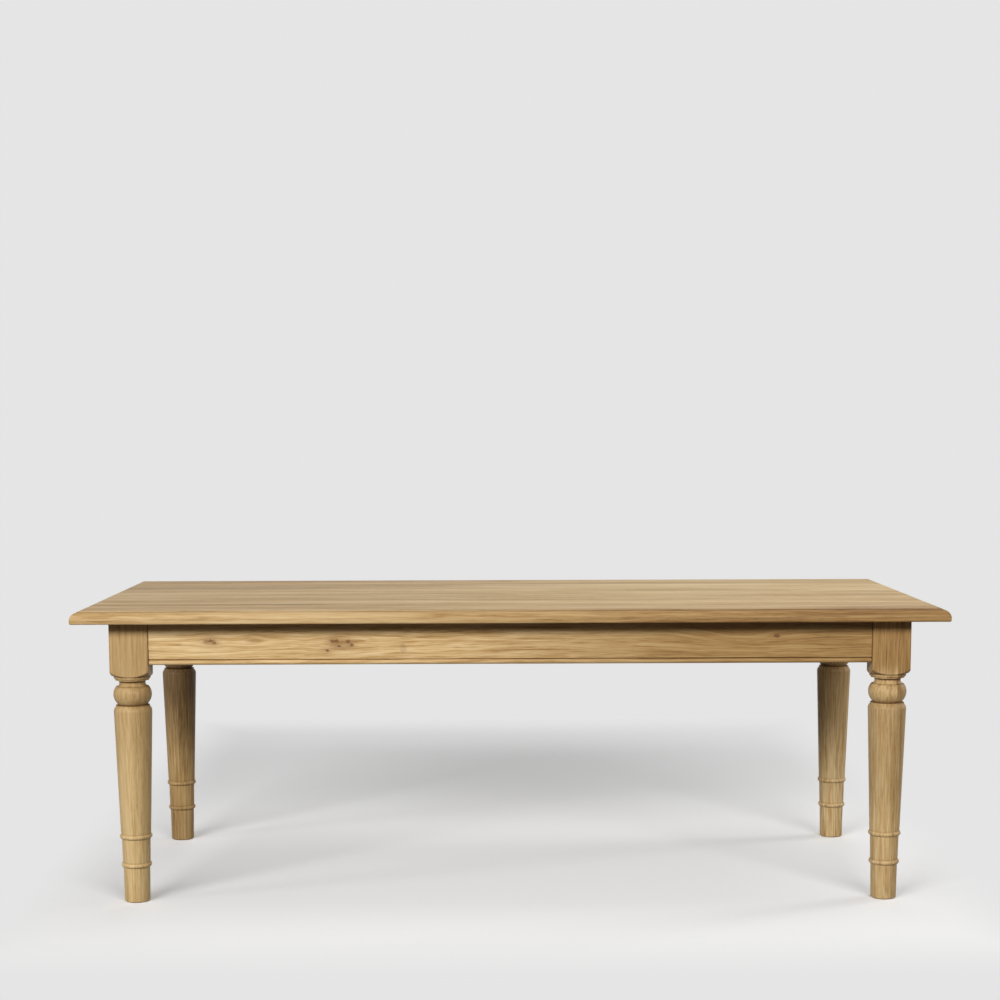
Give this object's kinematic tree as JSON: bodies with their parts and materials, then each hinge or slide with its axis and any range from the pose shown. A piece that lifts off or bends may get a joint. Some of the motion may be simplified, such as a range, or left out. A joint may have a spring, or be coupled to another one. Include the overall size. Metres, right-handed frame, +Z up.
{
  "type": "refectory table",
  "caption": "Oak refectory table: boarded top with an ovolo edge on beaded aprons and turned, tapering legs with square blocks, bolted to corner blocks.",
  "frame": {"origin": "on the floor under the middle of the top", "axes": "+X along the table to the right as seen from the front, +Y from front to back, +Z up"},
  "size_m": [2.2, 1, 0.76],
  "materials": {
    "oak_top": "satin oil on light oak",
    "oak_leg": "satin oil on light oak",
    "oak_apron": "satin oil on light oak",
    "oak_inner": "planed oak, not oiled",
    "beech_tongue": "planed beech",
    "zinc_steel": "bright zinc plate"
  },
  "bodies": {
    "root": {"top_board_1": "oak_top", "top_board_2": "oak_top", "top_board_3": "oak_top", "top_board_4": "oak_top", "top_board_5": "oak_top", "top_board_6": "oak_top", "top_tongue_1": "beech_tongue", "top_tongue_2": "beech_tongue", "top_tongue_3": "beech_tongue", "top_tongue_4": "beech_tongue", "top_tongue_5": "beech_tongue", "leg_front_left": "oak_leg", "corner_block_front_left": "oak_inner", "leg_front_right": "oak_leg", "corner_block_front_right": "oak_inner", "leg_back_right": "oak_leg", "corner_block_back_right": "oak_inner", "leg_back_left": "oak_leg", "corner_block_back_left": "oak_inner", "apron_front": "oak_apron", "apron_right": "oak_apron", "apron_back": "oak_apron", "apron_left": "oak_apron", "bearer_left": "oak_inner", "bearer_right": "oak_inner", "top_buttons": "oak_inner", "hanger_bolts": "zinc_steel", "bolt_washers": "zinc_steel", "bolt_nuts": "zinc_steel", "corner_block_screws": "zinc_steel", "button_screws": "zinc_steel", "bearer_screws": "zinc_steel", "bearer_washers": "zinc_steel"}
  },
  "joints": []
}
